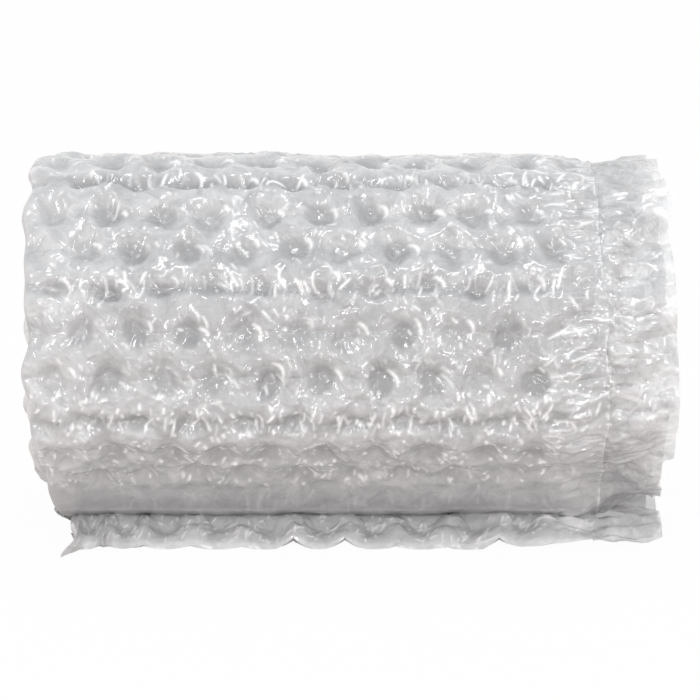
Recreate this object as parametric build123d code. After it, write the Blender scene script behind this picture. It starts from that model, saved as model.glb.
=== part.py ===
"""Roll of inflated cushion film: one web of two plies, sealed together by staggered rows of spots
and wound on itself, with its free end lying out on the floor. Millimetres, X along the roll."""

from build123d import *
from math import cos, degrees, exp, pi, sin, sqrt
import os

os.makedirs("parts", exist_ok=True)

# The inflated web: the spots seal the two plies together, and the film swells between them
spot_pitch = 28.5  # between the spots of one row, across the web
row_pitch = 23.2  # between rows, each shifted by half a spot pitch
spots_across = 10  # in a full row
spot_radius = 4.0  # flat floor of a spot
pillow_rise = 6.2  # crown of a pillow above the middle of the web
saddle_rise = 5.8  # between the spots of two rows
pinch_rise = 4.0  # crease between two spots of one row
kink_rise = 2.2  # the same crease in the rows at which the web folds as it bends round the roll
kink_every = 3  # rows
sealed_thickness = 1.2  # both plies where they lie flat
closed_edge = 3.0  # film that falls from the last pillows to the folded edge
inlet_length = 24.0  # fluted inlets between the last pillows and the edge seal
margin_width = 38.0  # loose film beyond the edge seal
fold_depth = 3.6  # slanting folds of that film
fold_length = 61.0
fold_slant = 0.9  # how far a fold runs along the web for each step across it

# The winding
wound_radius = 103.0  # middle of the web where the roll meets the floor
turn_pitch = 13.6  # from the middle of one turn to the middle of the next
eye_radius = 12.5  # the winding starts no closer to the axis
flat_share = 0.94  # how far the roll settles on the floor
wander = 2.2  # how far the turns stray along the roll
wander_length = 410.0

# Where the roll has slumped: places in degrees from the floor, up the back and over the top
shoulder_place = 218.0
shoulder_fall = 4.5
belly_place = 283.0
belly_rise = 5.0
under_belly_place = 310.0
under_belly_fall = 7.0
slump_spread = 16.0

# The free end
tail_length = 65.0  # from where the roll meets the floor to the cut
tail_allowance = 12.0  # film from the last row to the cut
scallop_depth = 5.0
torn_corner = 22.0  # how far the corner beside the folded edge is drawn out
torn_cusp = 13.0  # and the first cusp after it

# Where the folded edge is drawn in, along the web from the floor
corner_place = -60.0
corner_drawn = 24.0
under_belly_edge_place = 580.0
under_belly_edge_drawn = 14.0
drawn_length = 55.0
drawn_width = 90.0  # how far across the web it pulls

# Places across the web, counted from the folded edge
left = closed_edge
right = closed_edge + spots_across * spot_pitch
edge_seal = right + inlet_length
cut_edge = edge_seal + margin_width
margin_middle = (edge_seal + cut_edge) / 2

# The spiral, and the rows along it, counted from the free end
flat = sealed_thickness / 2
axis_height = (wound_radius + pillow_rise) * flat_share
radius_loss = turn_pitch / (2 * pi)  # for each radian of winding
wound_length = (wound_radius**2 - eye_radius**2) / (2 * radius_loss)
one_turn = (wound_radius - turn_pitch / 2) * 2 * pi
first_row = tail_allowance - tail_length
last_row = 2 * int(((wound_length - first_row) / row_pitch - 1) / 2) + 1
last_tail_row = 2 * int(-first_row / row_pitch / 2)
last_outer_row = 2 * int((one_turn - first_row) / row_pitch / 2)

# Spots show on the outer ply round the outermost turn, and on the inner ply where the free end
# turns it upwards. The other rows are plain ridges. Each range starts and ends with a full row.
spotted_rows = {1: (last_tail_row + 2, last_outer_row), -1: (0, last_tail_row)}

facets = []


def slumped(turned):
    """The share of a round roll's radius that the slumped roll has after a turn, in radians."""
    place = degrees(turned) % 360
    offset = 0.0
    for centre, rise in (
        (shoulder_place, -shoulder_fall),
        (belly_place, belly_rise),
        (under_belly_place, -under_belly_fall),
    ):
        offset += rise * exp(-(((place - centre) / slump_spread) ** 2))
    return 1 + offset / wound_radius


def drawn_in(across, along):
    """How far the film near the folded edge is drawn in along the roll."""
    drawn = 0.0
    for place, depth in ((corner_place, corner_drawn), (under_belly_edge_place, under_belly_edge_drawn)):
        drawn += depth * exp(-(((along - place) / drawn_length) ** 2))
    return drawn * max(1 - across / drawn_width, 0.0) ** 2


def on_web(across, along, height):
    """The place of a point of the web, along it from the floor and off its middle."""
    x = across + drawn_in(across, along) + wander * sin(2 * pi * along / wander_length)
    radius = sqrt(wound_radius**2 - 2 * radius_loss * max(along, 0.0))
    turned = (wound_radius - radius) / radius_loss
    settled = flat_share / cos(turned) if cos(turned) > flat_share else 1.0
    reach = (radius + height) * settled * slumped(turned)
    y = reach * sin(turned) + min(along, 0.0)
    return (x, y, axis_height - reach * cos(turned))


def add_facet(side, *points):
    """A flat facet of the outer ply, side 1, or the inner ply, side -1, or of the rim, also -1."""
    facets.append(Face(Wire.make_polygon(points[::-side])))


def add_ply_facet(side, *corners):
    """A facet of a ply, from the places and rises of its corners."""
    add_facet(side, *(on_web(across, along, side * rise) for across, along, rise in corners))


def stitch(side, near_line, far_line):
    """Facets between two lines that run across the web, the first nearer to the free end."""
    i = 0
    j = 0
    while i + 1 < len(near_line) or j + 1 < len(far_line):
        near_step = i + 1 < len(near_line)
        if near_step and j + 1 < len(far_line):
            near_step = near_line[i + 1][0] <= far_line[j + 1][0]
        if near_step:
            add_ply_facet(side, near_line[i], near_line[i + 1], far_line[j])
            i += 1
        else:
            add_ply_facet(side, near_line[i], far_line[j + 1], far_line[j])
            j += 1


def crease_rise(row):
    """The rise of the crease between two spots of a row."""
    return kink_rise if row % kink_every == kink_every - 1 else pinch_rise


def spot_ring(across, row):
    """Twelve points round a spot: crowns and saddles that it shares with its neighbours."""
    along = first_row + row * row_pitch
    half = spot_pitch / 2
    upper_quarter = [
        (half, 0, crease_rise(row)),
        (half, row_pitch / 3, pillow_rise),
        (half / 2, row_pitch / 2, saddle_rise),
        (0, row_pitch * 2 / 3, pillow_rise),
    ]
    lower_quarter = [(x, -y, rise) for x, y, rise in reversed(upper_quarter[1:])]
    right_half = lower_quarter + upper_quarter
    left_half = [(-x, y, rise) for x, y, rise in reversed(right_half[1:-1])]
    return [(across + x, along + y, rise) for x, y, rise in right_half + left_half]


def add_spot(side, across, row):
    """A sealed spot with a flat six-sided floor, and the film that swells around it."""
    along = first_row + row * row_pitch
    ring = [on_web(x, y, side * rise) for x, y, rise in spot_ring(across, row)]
    centre = Vector(on_web(across, along, side * flat))
    along_web = Vector(on_web(across, along + spot_radius, side * flat)) - centre
    across_web = Vector(spot_radius, 0, 0)
    floor = []
    for corner in range(6):
        angle = (corner - 1.5) * pi / 3
        floor.append(tuple(centre + across_web * cos(angle) + along_web * sin(angle)))
    add_facet(side, *floor)
    for corner in range(6):
        start = floor[corner]
        end = floor[(corner + 1) % 6]
        crown, saddle, next_crown = (ring[(2 * corner + step) % 12] for step in range(3))
        add_facet(side, start, crown, saddle)
        add_facet(side, start, saddle, end)
        add_facet(side, end, saddle, next_crown)


def add_half_spots(side, row):
    """The spots of a short row that lie on the two edges of the pillows."""
    along = first_row + row * row_pitch
    left_ring = spot_ring(left, row)[:7]
    right_ring = spot_ring(right, row)[6:] + spot_ring(right, row)[:1]
    for edge, ring in ((left, left_ring), (right, right_ring)):
        for start, end in zip(ring, ring[1:]):
            add_ply_facet(side, (edge, along, flat), start, end)


def row_boundary(row, direction):
    """The line of crowns and saddles on one side of a full row of spots."""
    along = first_row + row * row_pitch
    steps = (
        (row_pitch / 3, pillow_rise),
        (row_pitch / 2, saddle_rise),
        (row_pitch * 2 / 3, pillow_rise),
        (row_pitch / 2, saddle_rise),
    )
    line = []
    for quarter in range(4 * spots_across + 1):
        offset, rise = steps[quarter % 4]
        line.append((left + quarter * spot_pitch / 4, along + direction * offset, rise))
    return line


def free_edge(side):
    """The scalloped cut of the free end: its lobes droop to the floor, and its corner is torn."""
    drooped = pillow_rise if side > 0 else sealed_thickness - pillow_rise
    line = [(0.0, -tail_length - torn_corner / 2, drooped)]
    for quarter in range(4 * spots_across + 1):
        share = (0.0, 0.75, 1.0, 0.75)[quarter % 4]
        along = -tail_length - scallop_depth * share
        rise = flat + (drooped - flat) * share
        if quarter in (0, 4):
            along = -tail_length - (torn_cusp if quarter else torn_corner)
            rise = drooped
        line.append((left + quarter * spot_pitch / 4, along, rise))
    for across in (edge_seal, margin_middle, cut_edge):
        line.append((across, -tail_length, flat))
    return line


def bend_count(full_row):
    """The bends before a full row: a full row has three, and a short row has one."""
    return 2 * full_row


def is_spotted(side, row):
    return spotted_rows[side][0] <= row <= spotted_rows[side][1]


def margin_fold(across, along):
    """How far the loose film beyond the edge seal strays from the middle of the web."""
    out = across - edge_seal
    return fold_depth * sqrt(out / margin_width) * sin(2 * pi * (along + fold_slant * out) / fold_length)


def edge_lines(side):
    """Lines across the web at its bends, with their rise at each place across it."""
    lines = []
    for row in range(last_row + 1):
        along = first_row + row * row_pitch
        if row % 2:
            bends = [(along, flat)]
        else:
            middle = crease_rise(row) if is_spotted(side, row) else pillow_rise
            bends = [
                (along - row_pitch / 3, pillow_rise),
                (along, middle),
                (along + row_pitch / 3, pillow_rise),
            ]
        for place, rise in bends:
            lines.append(
                [
                    (0.0, place, flat),
                    (left, place, rise),
                    (right, place, rise),
                    (edge_seal, place, flat),
                    (margin_middle, place, flat + side * margin_fold(margin_middle, place)),
                    (cut_edge, place, flat + side * margin_fold(cut_edge, place)),
                ]
            )
    return lines


def add_ply(side):
    """One ply: its spotted rows, its plain ridges and the film beyond the pillows."""
    first, last = spotted_rows[side]
    for row in range(first, last + 1):
        if row % 2:
            add_half_spots(side, row)
        for column in range(spots_across - row % 2):
            add_spot(side, left + (column + 0.5 + row % 2 / 2) * spot_pitch, row)

    cut = free_edge(side)
    lines = edge_lines(side)
    stitch(side, cut[:2], lines[0][:2])
    stitch(side, cut[-4:], lines[0][2:])
    stitch(side, cut[1:-3], row_boundary(0, -1) if first == 0 else lines[0][1:3])
    first_line = bend_count(first)
    last_line = bend_count(last) + 2
    for k in range(len(lines) - 1):
        near_line = lines[k]
        far_line = lines[k + 1]
        stitch(side, near_line[:2], far_line[:2])
        stitch(side, near_line[2:], far_line[2:])
        if k == first_line - 1:
            stitch(side, near_line[1:3], row_boundary(first, -1))
        elif k == last_line:
            stitch(side, row_boundary(last, 1), far_line[1:3])
        elif not first_line <= k < last_line:
            add_ply_facet(side, near_line[1], near_line[2], far_line[2], far_line[1])


def rim_line(side):
    """The whole outline of a ply: the cut, the loose edge, the eye and the folded edge."""
    lines = edge_lines(side)
    loose_edge = [line[-1] for line in lines]
    folded_edge = [line[0] for line in reversed(lines)]
    outline = free_edge(side) + loose_edge + lines[-1][-2:0:-1] + folded_edge
    return [on_web(across, along, side * rise) for across, along, rise in outline]


add_ply(1)
add_ply(-1)
outer_rim = rim_line(1)
inner_rim = rim_line(-1)
for k in range(len(outer_rim)):
    k_next = (k + 1) % len(outer_rim)
    add_facet(-1, outer_rim[k], outer_rim[k_next], inner_rim[k_next])
    add_facet(-1, outer_rim[k], inner_rim[k_next], inner_rim[k])

# The origin is on the floor, under the middle of the whole roll
cushion_roll = Solid(Shell(facets))
extent = cushion_roll.bounding_box()
cushion_roll = Pos(-extent.center().X, -extent.center().Y, -extent.min.Z) * cushion_roll
cushion_roll.label = "cushion_roll"
export_step(cushion_roll, "parts/cushion_roll.step")
print("facets", len(facets), "volume", round(cushion_roll.volume), "moved by", -extent.center())
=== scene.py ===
"""Looks of a roll of inflated cushion film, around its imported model. Metres, X along the roll."""
from collections import namedtuple
from math import cos, pi, radians, sin

import bpy
import numpy as np
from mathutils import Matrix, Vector


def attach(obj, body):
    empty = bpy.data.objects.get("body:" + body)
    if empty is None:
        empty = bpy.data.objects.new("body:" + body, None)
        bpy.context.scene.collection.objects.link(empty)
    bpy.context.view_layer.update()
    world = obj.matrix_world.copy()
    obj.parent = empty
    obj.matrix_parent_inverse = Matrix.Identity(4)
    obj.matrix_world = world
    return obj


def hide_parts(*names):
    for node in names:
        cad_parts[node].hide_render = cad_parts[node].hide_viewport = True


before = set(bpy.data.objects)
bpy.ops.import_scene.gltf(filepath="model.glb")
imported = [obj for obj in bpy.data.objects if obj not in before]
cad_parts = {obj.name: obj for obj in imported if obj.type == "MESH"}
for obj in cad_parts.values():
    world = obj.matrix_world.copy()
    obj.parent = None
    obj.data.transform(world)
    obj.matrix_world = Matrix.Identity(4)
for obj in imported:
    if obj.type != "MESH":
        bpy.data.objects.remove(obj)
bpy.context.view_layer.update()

# The inflated web and its winding, as in the part's source
spot_pitch = 0.0285
row_pitch = 0.0232
spots_across = 10
pillow_rise = 0.0062
sealed_thickness = 0.0012
closed_edge = 0.003
inlet_length = 0.024
margin_width = 0.038
fold_depth = 0.0036
fold_length = 0.061
fold_slant = 0.9
wound_radius = 0.103
turn_pitch = 0.0136
eye_radius = 0.0125
flat_share = 0.94
wander = 0.0022
wander_length = 0.41
tail_length = 0.065
tail_allowance = 0.012
scallop_depth = 0.005
torn_corner = 0.022
torn_cusp = 0.013
slumps = ((218, -0.0045), (283, 0.005), (310, -0.007))  # degrees from the floor, and rise
slump_spread = 16

# Where the folded edge is drawn in along the roll, and how far. The second place is drawn in
# less than in the part's source, so that no gap opens between the turns.
draws = ((-0.060, 0.024), (0.580, 0.0090))
drawn_length = 0.055
drawn_width = 0.090

left = closed_edge
right = closed_edge + spots_across * spot_pitch
edge_seal = right + inlet_length
cut_edge = edge_seal + margin_width
flat = sealed_thickness / 2
axis_height = (wound_radius + pillow_rise) * flat_share
radius_loss = turn_pitch / (2 * pi)
wound_length = (wound_radius**2 - eye_radius**2) / (2 * radius_loss)
first_row = tail_allowance - tail_length

# The model's origin is under the middle of its box, and the web starts at its folded edge
web_shift = (-0.175001, -0.00178685)

# The film's own relief
spot_floor = 0.0024  # flat middle of a spot
pillow_reach = 0.0145  # from a spot's middle to the crown of a pillow
spot_stray = 0.0010  # how far spots lie off their lattice
pinch_depth = 0.0026  # crease between two spots of a row
pinch_width = 0.0020
wrinkles_from = 0.0026  # from a spot's middle, where the wrinkles round it begin
wrinkles_to = 0.0130
spot_shade_reach = 0.0102  # the painted shade of a spot, from its middle
spot_shade_softness = 0.0048
fold_shade_width = 0.0044  # the painted shade of a fold, to either side
inlet_rise = 0.0050
edge_lobe = 0.0022  # pillows that stand out at the folded edge
deep_cusps = (1, 5, 6, 9)  # between the lobes of the free end
kink_every = 3  # rows from one at which the web folds round the roll to the next
kink_row = 2  # the first of them
cut_length = 0.022  # the scallops fade out over this length from the cut
contact_rise = 0.0056  # of the film where the roll rests on its free end
contact_depth = 0.0060  # how much nearer the film of the roll comes there
trim_step = 0.0028  # of the cut edge, to either side
seed_of_side = {1: 100, -1: 500}  # outer and inner ply

# Places along the outermost turn, from where the roll meets the floor
tail_under_roll = -0.034  # where the free end lies under the roll
tail_hidden = 0.03  # its plies go on this far under the roll
over_the_back = 0.245
facing_front = 0.435
low_rows = 0.465  # rows from here on face the floor
stretched_from = 0.530
pressed_from = 0.538
resting_place = 0.564  # on the free end
leaving = 0.598  # the film comes off the free end again
into_the_nook = 0.612
last_crease = 0.66

# Grid steps
front_step = 0.0008
back_step = 0.0012
tail_step = 0.0007
margin_step = 0.0010
margin_inner_step = 0.0015
inner_step = 0.003


def fade(t):
    """A smooth step from 0 to 1."""
    t = np.clip(t, 0.0, 1.0)
    return t * t * (3 - 2 * t)


lattice_size = 256
noise_start = 40.0  # cells from the lattice's corner to the web's
crumple_start = 90


def lattice_cell(x, y):
    """The cell of a repeating lattice that holds a place: its rows and columns, and how far in."""
    column = np.floor(x).astype(int)
    row = np.floor(y).astype(int)
    fx = x - column
    fy = y - row
    column %= lattice_size
    row %= lattice_size
    next_column = (column + 1) % lattice_size
    next_row = (row + 1) % lattice_size
    return row, next_row, column, next_column, fx, fy


def noise(across, along, size_across, size_along, seed):
    """A smooth random field from -1 to 1, with swells of that size."""
    lattice = np.random.default_rng(seed).uniform(-1, 1, (lattice_size, lattice_size))
    cell = lattice_cell(across / size_across + noise_start, along / size_along + noise_start)
    row, next_row, column, next_column, fx, fy = cell
    fx = fade(fx)
    fy = fade(fy)
    low = lattice[row, column] * (1 - fx) + lattice[row, next_column] * fx
    high = lattice[next_row, column] * (1 - fx) + lattice[next_row, next_column] * fx
    return low * (1 - fy) + high * fy


def crumple(across, along, size, seed):
    """A random field from -1 to 1 of nearly flat facets between sharp creases, as crushed film has."""
    random = np.random.default_rng(seed)
    lattice = random.uniform(-1, 1, (lattice_size, lattice_size))
    slant = random.uniform(0, pi)
    bent_across = across + 0.45 * size * noise(across, along, 1.3 * size, 1.3 * size, seed + 1)
    bent_along = along + 0.45 * size * noise(across, along, 1.3 * size, 1.3 * size, seed + 2)
    x = (bent_across * cos(slant) + bent_along * sin(slant)) / size + crumple_start
    y = (bent_along * cos(slant) - bent_across * sin(slant)) / size + crumple_start
    row, next_row, column, next_column, fx, fy = lattice_cell(x, y)
    near = lattice[row, column]
    far = lattice[next_row, next_column]
    beside = lattice[row, next_column]
    above = lattice[next_row, column]
    lower = near + (beside - near) * fx + (above - near) * fy
    upper = far + (above - far) * (1 - fx) + (beside - far) * (1 - fy)
    return np.where(fx + fy < 1, lower, upper)


# What is random about each spot, drawn once for every row and column
spot_random = np.random.default_rng(11)
row_stock = 160
column_stock = 16
spot_offsets = spot_random.normal(0, spot_stray, (row_stock, column_stock, 2))
spot_turns = spot_random.uniform(0, 2 * pi, (row_stock, column_stock))
pinch_shares = spot_random.uniform(0.3, 1.2, (row_stock, column_stock))
spot_shade_strengths = spot_random.uniform(0.5, 1.0, (row_stock, column_stock))


def nearest_spot(across, along):
    """For each place of the web: the offset from the nearest spot, and that spot's row and column."""
    low_row = np.floor((along - first_row) / row_pitch).astype(int)
    best = np.full(across.shape, np.inf)
    found = [np.zeros(across.shape) for _ in range(4)]
    for row_step in (-1, 0, 1, 2):
        row = low_row + row_step
        short = row % 2
        low_column = np.floor((across - left) / spot_pitch - 0.5 - short / 2).astype(int)
        for column_step in (0, 1):
            column = np.clip(low_column + column_step, -short, spots_across - 1)
            stray = spot_offsets[row % row_stock, column % column_stock]
            from_across = across - left - (column + 0.5 + short / 2) * spot_pitch - stray[..., 0]
            from_along = along - first_row - row * row_pitch - stray[..., 1]
            distance = np.hypot(from_across, from_along)
            nearer = distance < best
            best = np.where(nearer, distance, best)
            for k, value in enumerate((from_across, from_along, row, column)):
                found[k] = np.where(nearer, value, found[k])
    return found[0], found[1], found[2].astype(int), found[3].astype(int)


def quilted(across, along, seed):
    """The rise of a quilted ply over the middle of the web, and its painted shade in the spots and
    folds.
    """
    from_across, from_along, row, column = nearest_spot(across, along)
    angle = np.arctan2(from_along, from_across) + spot_turns[row % row_stock, column % column_stock]
    folded = np.where(row % kink_every == kink_row, 1.7, 1.0)
    uneven = 0.10 * np.sin(3 * angle) + 0.16 * noise(across, along, 0.007, 0.007, seed)
    distance = np.hypot(from_across, from_along * folded) * (1 + uneven)

    # Pillows between the spots
    swell = np.clip((distance - spot_floor) / (pillow_reach - spot_floor), 0, 1)
    swell = 0.55 * (1 - (1 - swell) ** 2) + 0.45 * fade(swell)
    crown = pillow_rise * (1 + 0.16 * noise(across, along, 0.031, 0.027, seed + 5))
    rise = flat + (crown - flat) * swell
    rise += 0.0012 * noise(across, along, 0.06, 0.05, seed + 6) * swell

    # Creases between the spots of each row, deeper where the web folds round the roll
    line = np.rint((along - first_row) / row_pitch).astype(int)
    kinked = line % kink_every == kink_row
    from_line = along - first_row - line * row_pitch
    from_line = from_line + 0.0014 * noise(across, along, 0.012, 0.02, seed + 7)
    place = (across - left) / spot_pitch - (line % 2) / 2
    between = np.sin(pi * (place - 0.5)) ** 2
    gap = np.floor(place + 0.5).astype(int)
    share = pinch_shares[line % row_stock, gap % column_stock] * np.where(kinked, 1.3, 0.8)
    width = np.where(kinked, 1.6 * pinch_width, pinch_width)
    rise -= pinch_depth * share * between * np.exp(-np.hypot(from_line, 0.0003) / width) * swell

    # Wrinkles that run out from each spot, and puckers that run across the creases
    count = 9 + (row * 5 + column * 3) % 5
    bent = 1.5 * noise(across, along, 0.005, 0.005, seed + 8)
    ray = 1 - 2 * np.abs(np.sin(0.5 * count * angle + bent))
    ring = fade((distance - wrinkles_from) / 0.003) * fade((wrinkles_to - distance) / 0.006)
    rise += 0.00045 * ray * ring * noise(across, along, 0.009, 0.009, seed + 9)
    pucker = np.abs(noise(across + 0.35 * from_line, along, 0.0036, 0.02, seed + 10)) - 0.33
    near_line = np.exp(-((from_line / 0.007) ** 2)) * np.where(kinked, 1.0, 0.4)
    rise += 0.0020 * pucker * near_line * (0.3 + 0.7 * between)

    # Crumpled film everywhere
    loose = 0.5 + 0.5 * fade(0.5 + noise(across, along, 0.045, 0.04, seed + 11))
    rise += 0.0015 * crumple(across, along, 0.013, seed + 20) * loose * (0.3 + 0.7 * swell)
    rise += 0.0009 * crumple(across, along, 0.0065, seed + 30) * loose
    rise += 0.0004 * crumple(across, along, 0.0034, seed + 50) * loose

    # Painted shade: on the spots, where clear film shows the roll's dark inside, and in the folds
    # between them
    strength = spot_shade_strengths[row % row_stock, column % column_stock]
    # The painted shade of a spot sits a little below its middle
    below = np.hypot(from_across + 0.001, from_along * folded - 0.0015)
    ragged = 1 + 0.2 * noise(across, along, 0.007, 0.007, seed + 13)
    painted_shade = strength * fade((spot_shade_reach - below * ragged) / spot_shade_softness)
    low = fade((along - low_rows) / 0.02)
    on_free_end = along < 0.02
    painted_shade *= (0.8 + 0.2 * fade((along - 0.40) / 0.02)) * (1 - 0.45 * low) * (1 - 0.88 * on_free_end)
    painted_shade *= 0.7 + 0.3 * fade((across - 0.01) / 0.05)
    fold_shade = kinked * np.exp(-((from_line / fold_shade_width) ** 2)) * (1 - 0.15 * low)
    fold_shade *= 0.72 + 0.3 * noise(across, along, 0.014, 0.01, seed + 12)
    return rise, np.maximum(painted_shade, fold_shade)


def fluted(across, along, seed):
    """The rise of a ply at the inlets: long flutes that flatten towards the edge seal."""
    reach = np.clip((across - right) / inlet_length, 0, 1)
    rise = flat + (inlet_rise - flat) * (1 - reach) ** 0.8 * fade((1 - reach) / 0.35)
    slant = along + 0.14 * across
    flute = np.abs(noise(0.35 * across, slant, 0.010, 0.0072, seed + 40)) - 0.4
    fine_flute = np.abs(noise(0.3 * across, slant, 0.006, 0.0032, seed + 41)) - 0.35
    rise += (0.0046 * flute + 0.0020 * fine_flute) * fade((1 - reach) / 0.5)
    rise += 0.0006 * crumple(across, along, 0.0045, seed + 42)
    seal = np.exp(-(((reach - 1) * inlet_length / 0.003) ** 2))
    rise += 0.0012 * np.abs(noise(across, along, 0.006, 0.0018, seed + 43)) * seal
    return rise


def resting(along):
    """How near a place is to where the roll rests on its free end, 0 to 1."""
    on_roll = np.exp(-(((along - resting_place) / 0.025) ** 2))
    return np.maximum(on_roll, np.exp(-(((along - tail_under_roll) / 0.016) ** 2)))


def before_leaving(along):
    """1 up to where the film comes off the free end again, and 0 beyond."""
    return 1 - fade((along - leaving) / 0.013)


def stretched(along):
    """How far the film is stretched smooth where the roll rests on its free end, 0 to 1."""
    return fade((along - stretched_from) / 0.016) * before_leaving(along)


def pressed(across, along, side):
    """How much nearer the roll and its free end come where they rest on each other."""
    thin = fade((across - right + 0.004) / 0.014)
    if side > 0:
        depth = contact_depth + 0.0032 * thin + 0.0005 * noise(across, along, 0.03, 0.03, 63)
        return depth * fade((along - pressed_from) / 0.020) * before_leaving(along)
    return 0.0042 * thin * fade((along + 0.056) / 0.012) * (1 - fade(along / 0.02))


def web_relief(across, along, side):
    """The rise of a ply over the middle of the web, and its painted shade, 0 to 1."""
    seed = seed_of_side[side]
    rise, painted_shade = quilted(across, along, seed)
    beyond = fade((across - right + 0.004) / 0.012)
    if side > 0:
        smooth = contact_rise + 0.0008 * noise(across, along, 0.030, 0.020, 64)
        rise += 0.88 * (smooth - rise) * stretched(along)
    rise = rise * (1 - beyond) + fluted(across, along, seed) * beyond + pressed(across, along, side)
    # The folded edge rounds down to the middle of the web
    round_off = np.clip(across / (2.2 * closed_edge), 0, 1)
    rise = rise * np.sqrt(1 - (1 - round_off) ** 2)
    # Painted shade where the film is clearest, facing the front, and where the roll rests on its free
    # end
    front = 0.36 * np.exp(-(((along - facing_front) / 0.045) ** 2)) * fade(across / 0.06)
    shaded = resting(along) * (1 - 0.5 * beyond)
    return rise, np.maximum(painted_shade * (1 - beyond), np.maximum(front, shaded))


crease_random = np.random.default_rng(23)
small_creases = 2400
inlet_creases = 320
margin_creases = 420
end_creases = 640
low_creases = 420
crease_highlight_width = 0.0006  # of the painted highlight on a crease
fine_crease_highlight_width = 0.00058
bend_spread = 25
low_creases_end = 0.54  # along the web
calmed = 0.85  # how far creases fade where the film is stretched smooth
Crease = namedtuple("Crease", "across along angle half_length bend shine width")


def crease(across, along, slant, spread, shortest, longest, bend, shine=1.0, width=None):
    """One crease about a middle, with its slant and spread in degrees; 90 is along the web."""
    angle = crease_random.normal(radians(slant), radians(spread))
    half_length = crease_random.uniform(shortest, longest)
    bend = crease_random.normal(bend, bend_spread)
    width = width or crease_highlight_width * shine**0.5
    return Crease(across, along, angle, half_length, bend, shine, width)


def make_creases():
    """Short sharp creases: beside the spots, across the folds of the web, and small ones anywhere."""
    made = []

    def scatter(count, first, last, *looks):
        """Adds creases at random places between two corners of a stretch of the web."""
        for _ in range(count):
            place = crease_random.uniform(first, last)
            made.append(crease(*place, *looks))

    for row in range(int((last_crease - first_row) / row_pitch)):
        along = first_row + row * row_pitch
        for column in range(spots_across):
            across = left + (column + 0.5 + row % 2 / 2) * spot_pitch
            beside = across + crease_random.normal(0.0078, 0.0010)
            before = along - crease_random.normal(0.0030, 0.0015)
            # Painted highlights beside each spot, brightest on the rows that do not face the floor
            shine = 2.6 if along < low_rows else 1.2
            made.append(crease(beside, before, 56, 12, 0.0026, 0.0052, -70, shine))
            for _ in range(crease_random.integers(0, 4)):
                beside = across + crease_random.normal(0.008, 0.003)
                before = along + crease_random.normal(-0.004, 0.005)
                made.append(crease(beside, before, 58, 22, 0.0018, 0.0052, -40))
            if row % kink_every == kink_row:
                for _ in range(crease_random.integers(4, 8)):
                    beside = across + crease_random.uniform(0, spot_pitch)
                    before = along + crease_random.normal(-0.001, 0.003)
                    made.append(crease(beside, before, 92, 20, 0.0025, 0.0062, 0, 1.3))
    cut = -tail_length
    inlets = (right - 0.008, cut)
    scatter(inlet_creases, inlets, (edge_seal, last_crease), -10, 12, 0.0020, 0.0080, 0)
    scatter(margin_creases, (edge_seal, cut), (cut_edge, last_crease), -8, 30, 0.0020, 0.0090, 0)
    # Fine, bright painted highlights on the free end
    end_looks = (62, 34, 0.0012, 0.0034, 0, 3.0, fine_crease_highlight_width)
    scatter(end_creases, (0.0, cut), (edge_seal, 0.01), *end_looks)
    end_of_low = (right, low_creases_end)
    scatter(low_creases, (0.0, low_rows), end_of_low, 75, 35, 0.0008, 0.0024, 0, 1.8)
    scatter(small_creases, (0.0, cut), (cut_edge, last_crease), 75, 40, 0.0008, 0.0030, 0)
    return made


creases = make_creases()
crease_heights = crease_random.uniform(0.0002, 0.0008, len(creases))
crease_widths = crease_random.uniform(0.0004, 0.0009, len(creases))
crease_highlights = crease_random.uniform(0.1, 1.0, len(creases)) ** 1.5
crease_highlights = np.minimum(crease_highlights * [one.shine for one in creases], 1)


def add_creases(rise, across, along):
    """Adds short sharp creases to a relief on an even grid, and returns their painted highlights."""
    pale = np.zeros(rise.shape)
    for k, one in enumerate(creases):
        reach = one.half_length + 0.002
        columns = slice(*np.searchsorted(across, (one.across - reach, one.across + reach)))
        rows = slice(*np.searchsorted(along, (one.along - reach, one.along + reach)))
        from_across = across[None, columns] - one.across
        from_along = along[rows, None] - one.along
        run = from_across * cos(one.angle) + from_along * sin(one.angle)
        off = from_along * cos(one.angle) - from_across * sin(one.angle) + one.bend * run**2
        body = np.clip(1 - (run / one.half_length) ** 2, 0, 1)
        height = crease_heights[k] * (1 - calmed * stretched(one.along))
        rise[rows, columns] += height * body * np.exp(-np.abs(off) / crease_widths[k])
        line = crease_highlights[k] * np.sqrt(body) * np.exp(-((off / one.width) ** 2))
        pale[rows, columns] = np.maximum(pale[rows, columns], line)
    # The painted highlights fade where the film is stretched smooth, and by half where the roll rests
    # on its free end
    return pale * (1 - np.maximum(calmed * stretched(along), 0.5 * resting(along)))[:, None]


def seam(across, along):
    """The painted highlights on the stitch-like bumps of the edge seal."""
    beaded = np.clip(0.4 + noise(across * 0, along, 1.0, 0.0021, 71), 0, 1)
    return 0.6 * beaded * np.exp(-(((across - edge_seal) / 0.0011) ** 2))


def slumped(turned):
    """The share of a round roll's radius that the slumped roll has after a turn, in radians."""
    place = np.degrees(turned) % 360
    offset = sum(rise * np.exp(-(((place - centre) / slump_spread) ** 2)) for centre, rise in slumps)
    return 1 + offset / wound_radius


def drawn_in(across, along):
    """How far the film near the folded edge is drawn in along the roll."""
    drawn = sum(depth * np.exp(-(((along - place) / drawn_length) ** 2)) for place, depth in draws)
    lobes = -edge_lobe * np.cos(pi * (along - first_row) / row_pitch)
    lobes *= 0.6 + noise(along, 0 * along, 0.05, 1.0, 61)
    drawn = drawn * np.clip(1 - across / drawn_width, 0, 1) ** 2
    return drawn + lobes * np.clip(1 - across / 0.014, 0, 1)


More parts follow.
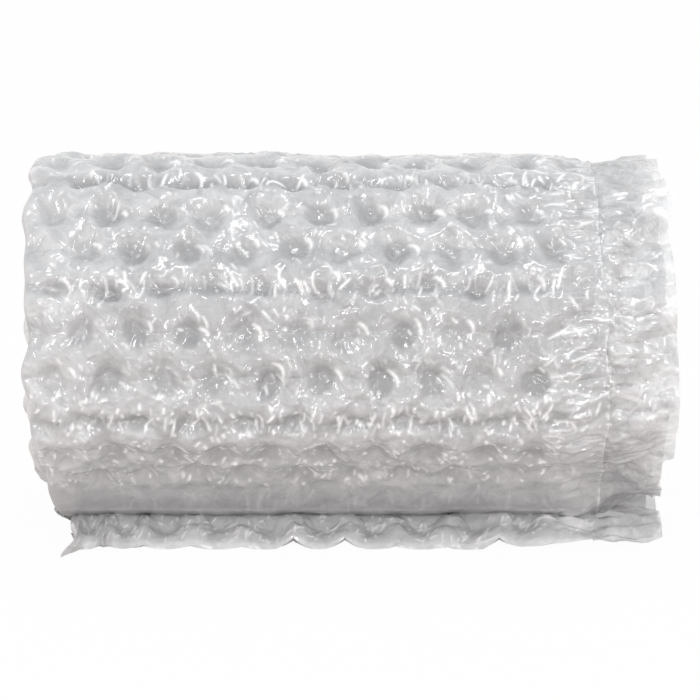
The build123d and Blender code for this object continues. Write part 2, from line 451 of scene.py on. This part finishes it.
def on_web(across, along, height):
    """The places of points of the web, along it from the floor and off its middle."""
    near_seal = np.exp(-(((across - edge_seal) / 0.005) ** 2))
    ragged = 0.0011 * noise(along, 0 * along, 0.009, 1.0, 62) * near_seal
    x = across + ragged + drawn_in(across, along) + wander * np.sin(2 * pi * along / wander_length)
    radius = np.sqrt(wound_radius**2 - 2 * radius_loss * np.maximum(along, 0.0))
    turned = (wound_radius - radius) / radius_loss
    down = np.cos(turned)
    settled = np.where(down > flat_share, flat_share / np.maximum(down, flat_share), 1.0)
    reach = (radius + height) * settled * slumped(turned)
    y = reach * np.sin(turned) + np.minimum(along, 0.0)
    z = np.maximum(axis_height - reach * down, 0.0)  # flat on the floor
    return np.stack((x + web_shift[0], y + web_shift[1], z), axis=-1)


def outward_normals(points, outward):
    """The normal of a grid of points at each of them."""
    normals = np.cross(np.gradient(points, axis=1), np.gradient(points, axis=0))
    normals /= np.maximum(np.linalg.norm(normals, axis=-1, keepdims=True), 1e-12)
    return -normals if outward else normals


def grid_piece(name, points, outward, material, attributes=None, columns=slice(None)):
    """A smooth mesh from the named columns of an even grid of points, and an object of it."""
    normals = outward_normals(points, outward)[:, columns]
    points = points[:, columns]
    rows, width = points.shape[:2]
    corner = np.arange(rows * width).reshape(rows, width)
    quads = np.stack((corner[:-1, :-1], corner[:-1, 1:], corner[1:, 1:], corner[1:, :-1]), axis=-1)
    quads = quads.reshape(-1, 4)
    if outward:
        quads = quads[:, ::-1]
    mesh = bpy.data.meshes.new(name)
    mesh.from_pydata(points.reshape(-1, 3), [], quads)
    mesh.shade_smooth()
    mesh.normals_split_custom_set_from_vertices(normals.reshape(-1, 3).tolist())
    for key, values in (attributes or {}).items():
        attribute = mesh.attributes.new(key, "FLOAT", "POINT")
        attribute.data.foreach_set("value", values[:, columns].astype(np.float32).ravel())
    mesh.materials.append(material)
    piece = bpy.data.objects.new(name, mesh)
    bpy.context.scene.collection.objects.link(piece)
    return piece


def set_inputs(node, **values):
    """Sets a node's sockets, with underscores for the spaces in their names."""
    for key, value in values.items():
        node.inputs[key.replace("_", " ")].default_value = value


def painted(tree, name):
    """The values of a mesh attribute, as a socket."""
    node = tree.nodes.new("ShaderNodeAttribute")
    node.attribute_name = name
    return node.outputs["Fac"]


def scaled(tree, socket, factor):
    """A socket's value times a factor."""
    node = tree.nodes.new("ShaderNodeMath")
    node.operation = "MULTIPLY"
    node.inputs[1].default_value = factor
    tree.links.new(socket, node.inputs[0])
    return node.outputs["Value"]


def mixed(tree, share, first, second):
    """A colour between the first, which is a colour or a socket, and the second colour."""
    node = tree.nodes.new("ShaderNodeMix")
    node.data_type = "RGBA"
    if isinstance(first, tuple):
        node.inputs["A"].default_value = (*first, 1)
    else:
        tree.links.new(first, node.inputs["A"])
    node.inputs["B"].default_value = (*second, 1)
    tree.links.new(share, node.inputs["Factor"])
    return node.outputs["Result"]


# The colours of painted shade and painted highlights, and how far the painted shade darkens
painted_shade_colour = (0.24, 0.24, 0.245)
painted_shade_share = 0.70
crease_highlight_colour = (1, 1, 1)


def film_material(name, opacity, dark, pale, metallic, crinkle):
    """Thin clear film over more film: pale, glossy and crinkled."""
    material = bpy.data.materials.new(name)
    material.use_nodes = True
    tree = material.node_tree
    nodes = tree.nodes
    links = tree.links
    shader = nodes["Principled BSDF"]
    place = nodes.new("ShaderNodeTexCoord")

    clouds = nodes.new("ShaderNodeTexNoise")
    set_inputs(clouds, Scale=75, Detail=6, Roughness=0.72, Distortion=0.8)
    links.new(place.outputs["Object"], clouds.inputs["Vector"])
    contrast = nodes.new("ShaderNodeMapRange")
    set_inputs(contrast, From_Min=0.36, From_Max=0.64)
    links.new(clouds.outputs["Fac"], contrast.inputs["Value"])
    colour = mixed(tree, contrast.outputs["Result"], pale, dark)
    # Painted shade in the spots, the folds, facing the front and in the nook
    colour = mixed(tree, scaled(tree, painted(tree, "painted_shade"), painted_shade_share), colour, painted_shade_colour)
    # Whiter where marked pale: painted highlights on creases and the edge seal, painted light on the
    # free end and inner turns
    colour = mixed(tree, painted(tree, "pale"), colour, crease_highlight_colour)
    links.new(colour, shader.inputs["Base Color"])

    wrinkles = nodes.new("ShaderNodeTexNoise")
    wrinkles.noise_type = "RIDGED_MULTIFRACTAL"
    set_inputs(wrinkles, Scale=260, Detail=3)
    links.new(place.outputs["Object"], wrinkles.inputs["Vector"])
    bump = nodes.new("ShaderNodeBump")
    set_inputs(bump, Strength=crinkle, Distance=0.0006)
    links.new(wrinkles.outputs["Fac"], bump.inputs["Height"])
    links.new(bump.outputs["Normal"], shader.inputs["Normal"])

    set_inputs(shader, Metallic=metallic, Roughness=0.28, Specular_IOR_Level=0.5)
    set_inputs(shader, Coat_Weight=1.0, Coat_Roughness=0.06, Alpha=opacity)
    return material


film = film_material(
    "film",
    opacity=1.0,
    dark=(0.42, 0.42, 0.425),
    pale=(0.62, 0.62, 0.625),
    metallic=0.15,
    crinkle=0.6,
)
loose_film = film_material(
    "loose_film",
    opacity=0.55,
    dark=(0.50, 0.50, 0.505),
    pale=(0.90, 0.90, 0.905),
    metallic=0.42,
    crinkle=0.25,
)


def places(first, last, step):
    """Evenly spaced places from the first to the last."""
    return np.linspace(first, last, int(round((last - first) / step)) + 1)


def near_cut(along):
    """1 at the cut of the free end, fading to 0 over the length of the scallops."""
    return 1 - fade((along + tail_length) / cut_length)


def ply(name, across, along, side, parts=1):
    """A stretch of one ply of the pillows and inlets, as one piece or several side by side."""
    grid_across, grid_along = np.meshgrid(across, along)
    rise, painted_shade = web_relief(grid_across, grid_along, side)
    # Paler towards the folded edge
    paler_near_folded_edge = 0.10 * (1 - fade(grid_across / 0.06))
    # Painted highlights on the creases and the edge seal
    pale = np.maximum(add_creases(rise, across, along), seam(grid_across, grid_along) + paler_near_folded_edge)
    marks = {"painted_shade": painted_shade, "pale": pale}
    points = on_web(grid_across, grid_along, side * rise)
    bounds = np.linspace(0, len(across) - 1, parts + 1).astype(int)
    made = []
    for k in range(parts):
        part_name = name if parts == 1 else f"{name}_{k + 1}"
        columns = slice(bounds[k], bounds[k + 1] + 1)
        made.append(grid_piece(part_name, points, side > 0, film, marks, columns))
    return made


def free_end():
    """The end of the web that lies out: two plies that meet at a scalloped cut on the floor."""
    across = places(0.0, edge_seal, tail_step)
    along = places(-tail_length, tail_hidden, tail_step)
    grid_across, grid_along = np.meshgrid(across, along)
    place = (grid_across - left) / spot_pitch
    cusp = np.rint(place).astype(int)
    depth = np.where(np.isin(cusp, deep_cusps), 1.0, 0.35)
    lobe = 1 - depth * (1 - np.abs(np.sin(pi * np.clip(place, 0, spots_across))) ** 0.8)
    lobe *= 1 + 0.25 * noise(grid_across, grid_along * 0, 0.04, 1.0, 801)
    torn = torn_corner * np.exp(-np.abs(grid_across - 0.4 * closed_edge) / 0.0045)
    torn += torn_cusp * np.exp(-np.abs(place - 1) * spot_pitch / 0.0035)
    at_cut = near_cut(grid_along)
    from_cut = grid_along + tail_length
    reach = grid_along - (scallop_depth * lobe + torn) * at_cut
    before_seal = 1 - fade((grid_across - right) / inlet_length)
    made = []
    for name, side in (("free_end_top", -1), ("free_end_underside", 1)):
        rise, painted_shade = web_relief(grid_across, grid_along, side)
        rise = np.maximum(rise, contact_rise * fade((grid_along + 0.055) / 0.012))
        # Painted highlights on the creases, kept off the cut
        pale = add_creases(rise, across, along) * fade(from_cut / 0.003)
        # Painted light: the free end is painted paler, most towards the edge seal
        pale = np.maximum(pale, 0.14 + 0.33 * fade((grid_across - right + 0.010) / 0.030))
        closing = np.sqrt(np.clip(from_cut / 0.016, 0, 1))
        drooped = flat + (pillow_rise - flat) * np.clip(lobe, 0, 1) * before_seal
        height = drooped + (side * rise - drooped) * closing
        points = on_web(grid_across, reach, height)
        marks = {"painted_shade": 0.7 * painted_shade * (1 - at_cut), "pale": pale}
        made.append(grid_piece(name, points, side > 0, film, marks))
    return made


def margin(name, first, last, step, side, seed):
    """The loose film beyond the edge seal, in loose folds."""
    across = places(edge_seal, cut_edge, step)
    along = places(first, last, step)
    grid_across, grid_along = np.meshgrid(across, along)
    out = (grid_across - edge_seal) / margin_width
    slant_place = (grid_along + fold_slant * (grid_across - edge_seal)) / fold_length
    wave = fold_depth * np.sqrt(out) * np.sin(2 * pi * slant_place)
    wave += 0.0036 * crumple(0.5 * grid_across, grid_along, 0.0125, seed + 1) * fade(out / 0.3)
    wave += 0.0015 * crumple(0.6 * grid_across, grid_along, 0.0070, seed + 9) * fade(out / 0.15)
    wave += 0.0002 * crumple(grid_across, grid_along, 0.0035, seed + 17)
    gathers = np.abs(noise(0.25 * grid_across, grid_along, 0.010, 0.0050, seed + 19)) - 0.3
    wave += 0.0022 * gathers * fade(out / 0.10) * (1 - fade((out - 0.2) / 0.5))
    # The film leaves the edge seal at the height of the ply that it continues
    at_seal = fluted(np.full(wave.shape, edge_seal), grid_along, seed_of_side[side]) - flat
    wave += side * at_seal * (1 - fade(out / 0.10))
    # Painted highlights on the creases and the edge seal
    pale = np.maximum(add_creases(wave, across, along), seam(grid_across, grid_along))
    # Paler on the inner turns, to make up for the light that real film lets through
    pale = np.maximum(pale, 0.7 * (first > 0))
    steps = noise(grid_along, grid_along * 0, 0.045, 1.0, seed + 2)
    trim = -trim_step * (1 + np.tanh(12 * steps)) * out
    wave += side * pressed(grid_across, grid_along, side) * np.exp(-3 * out)
    reach = grid_along - 0.005 * (1 - fade(out / 0.7)) * near_cut(grid_along)
    points = on_web(grid_across + trim, reach, side * flat + wave)
    return grid_piece(name, points, side > 0, loose_film, {"pale": pale})


def inner_ply(name, side, first):
    """A ply of the inner turns, fine at the roll's ends, where it shows."""
    folded_end = places(0.0, 0.03, 0.0025)
    middle = places(0.06, 0.27, 0.03)
    open_end = places(0.29, edge_seal, 0.0025)
    across = np.concatenate((folded_end, middle, open_end))
    grid_across, grid_along = np.meshgrid(across, places(first, wound_length, inner_step))
    rise, painted_shade = web_relief(grid_across, grid_along, side)
    # The inner turns are painted paler, for the light that real film lets through
    marks = {"painted_shade": painted_shade, "pale": np.full(painted_shade.shape, 0.35)}
    return grid_piece(name, on_web(grid_across, grid_along, side * rise), side > 0, film, marks)


front_run = places(over_the_back, into_the_nook, front_step)
back_run = places(-0.004, over_the_back + 0.003, back_step)
pieces = ply("outer_turn_front", places(0.0, edge_seal, front_step), front_run, 1, 2)
pieces += ply("outer_turn_back", places(0.0, edge_seal, back_step), back_run, 1)
pieces += free_end()
outer_run = (-tail_length, into_the_nook)
pieces.append(margin("outer_margin", *outer_run, margin_step, 1, 700))
pieces.append(margin("outer_margin_inner_ply", *outer_run, margin_inner_step, -1, 730))
pieces.append(inner_ply("inner_turns_outer_ply", 1, into_the_nook))
pieces.append(inner_ply("inner_turns_inner_ply", -1, 0.0))
pieces.append(margin("inner_margins", into_the_nook, wound_length, inner_step, 1, 760))
for piece in pieces:
    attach(piece, "root")
    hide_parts("cushion_roll")


sky_strength = 1.35
sky_low = (0.81, 0.785, 0.775, 1)
sky_high = (0.68, 0.70, 0.715, 1)
floor_colour = (0.80, 0.75, 0.73, 1)
floor_whiteness = 0.97  # the share of plain white in what the camera sees of the floor
floor_gap = 0.0005  # below the roll
nook_light_x = -0.012
nook_light_tilt = radians(84)
nook_light_colour = (1, 0.93, 0.90)


def seen_directly(tree):
    """A socket that is 1 for what the camera sees, also through clear film."""
    path = tree.nodes.new("ShaderNodeLightPath")
    return path.outputs["Is Camera Ray"]


def mix_shaders(tree, share, first, second, output):
    """Leads a mix of two shaders to an output."""
    mix = tree.nodes.new("ShaderNodeMixShader")
    tree.links.new(share, mix.inputs["Fac"])
    tree.links.new(first, mix.inputs[1])
    tree.links.new(second, mix.inputs[2])
    tree.links.new(mix.outputs["Shader"], output.inputs["Surface"])


def make_world():
    """Even pale light all round, which the camera sees as white."""
    world = bpy.data.worlds.new("studio")
    world.use_nodes = True
    bpy.context.scene.world = world
    tree = world.node_tree
    nodes = tree.nodes
    links = tree.links
    light = nodes["Background"]
    set_inputs(light, Strength=sky_strength)
    place = nodes.new("ShaderNodeTexCoord")
    axes = nodes.new("ShaderNodeSeparateXYZ")
    links.new(place.outputs["Generated"], axes.inputs["Vector"])
    ramp = nodes.new("ShaderNodeValToRGB")
    ramp.color_ramp.elements[0].position = 0.0
    ramp.color_ramp.elements[0].color = sky_low
    ramp.color_ramp.elements[1].position = 0.9
    ramp.color_ramp.elements[1].color = sky_high
    links.new(axes.outputs["Z"], ramp.inputs["Fac"])
    links.new(ramp.outputs["Color"], light.inputs["Color"])
    white = nodes.new("ShaderNodeBackground")
    set_inputs(white, Color=(1, 1, 1, 1), Strength=1)
    shares = (light.outputs["Background"], white.outputs["Background"])
    mix_shaders(tree, seen_directly(tree), *shares, nodes["World Output"])


def make_floor():
    """A plain pale floor that keeps a faint shadow."""
    half = 4.0
    mesh = bpy.data.meshes.new("floor")
    corners = [(-half, -half, 0), (half, -half, 0), (half, half, 0), (-half, half, 0)]
    mesh.from_pydata(corners, [], [(0, 1, 2, 3)])
    floor = bpy.data.objects.new("floor", mesh)
    bpy.context.scene.collection.objects.link(floor)
    material = bpy.data.materials.new("floor")
    material.use_nodes = True
    tree = material.node_tree
    nodes = tree.nodes
    paint = nodes["Principled BSDF"]
    set_inputs(paint, Base_Color=floor_colour, Roughness=0.9, Specular_IOR_Level=0)
    glow = nodes.new("ShaderNodeEmission")
    share = scaled(tree, seen_directly(tree), floor_whiteness)
    shades = (paint.outputs["BSDF"], glow.outputs["Emission"])
    mix_shaders(tree, share, *shades, nodes["Material Output"])
    mesh.materials.append(material)
    floor.location.z = -floor_gap


def make_nook_light(name, off_middle, height, width, power):
    """Light that reaches the nook over the free end through the clear film."""
    data = bpy.data.lights.new(name, "AREA")
    data.shape = "RECTANGLE"
    data.size = edge_seal - left
    data.size_y = width
    data.energy = power
    data.color = nook_light_colour
    lamp = bpy.data.objects.new(name, data)
    lamp.location = (nook_light_x, off_middle, height)
    lamp.rotation_euler = (nook_light_tilt, 0, 0)
    lamp.visible_camera = False
    lamp.visible_glossy = False
    bpy.context.scene.collection.objects.link(lamp)


def make_lamp(name, position, size, power):
    """A square lamp that faces the roll."""
    data = bpy.data.lights.new(name, "AREA")
    data.size = size
    data.energy = power
    lamp = bpy.data.objects.new(name, data)
    lamp.location = position
    towards = Vector((0, 0, axis_height)) - Vector(position)
    lamp.rotation_euler = towards.to_track_quat("-Z", "Y").to_euler()
    bpy.context.scene.collection.objects.link(lamp)


camera_elevation = radians(16)
camera_distance = 1.8
photo_size = 700
photo_scale = 0.000565  # metres a pixel at the roll's axis
axis_row = 336  # the photo's row that shows the axis


def make_camera():
    """A long lens at the photo's angle."""
    data = bpy.data.cameras.new("camera")
    data.lens = data.sensor_width * camera_distance / (photo_size * photo_scale)
    camera = bpy.data.objects.new("camera", data)
    back = Vector((0, -cos(camera_elevation), sin(camera_elevation)))
    up = Vector((0, sin(camera_elevation), cos(camera_elevation)))
    target = Vector((0, web_shift[1], axis_height)) - up * (photo_size / 2 - axis_row) * photo_scale
    camera.location = target + back * camera_distance
    camera.rotation_euler = (-back).to_track_quat("-Z", "Y").to_euler()
    bpy.context.scene.collection.objects.link(camera)
    bpy.context.scene.camera = camera


make_world()
make_floor()
make_nook_light("nook_mouth", off_middle=-0.085, height=0.028, width=0.020, power=0.002)
make_nook_light("nook_tip", off_middle=-0.055, height=0.0160, width=0.004, power=0.001)
make_lamp("key", (0.75, -1.0, 0.95), size=0.16, power=1.0)
make_lamp("left", (-0.8, -0.9, 0.7), size=0.15, power=1.3)
make_lamp("top", (0.1, -0.5, 1.4), size=0.22, power=2.1)
make_lamp("low", (0.4, -1.4, 0.2), size=0.15, power=1.8)
make_lamp("front", (-0.35, -1.5, 0.5), size=0.15, power=0.45)
make_camera()
bpy.context.scene.view_settings.view_transform = "Standard"
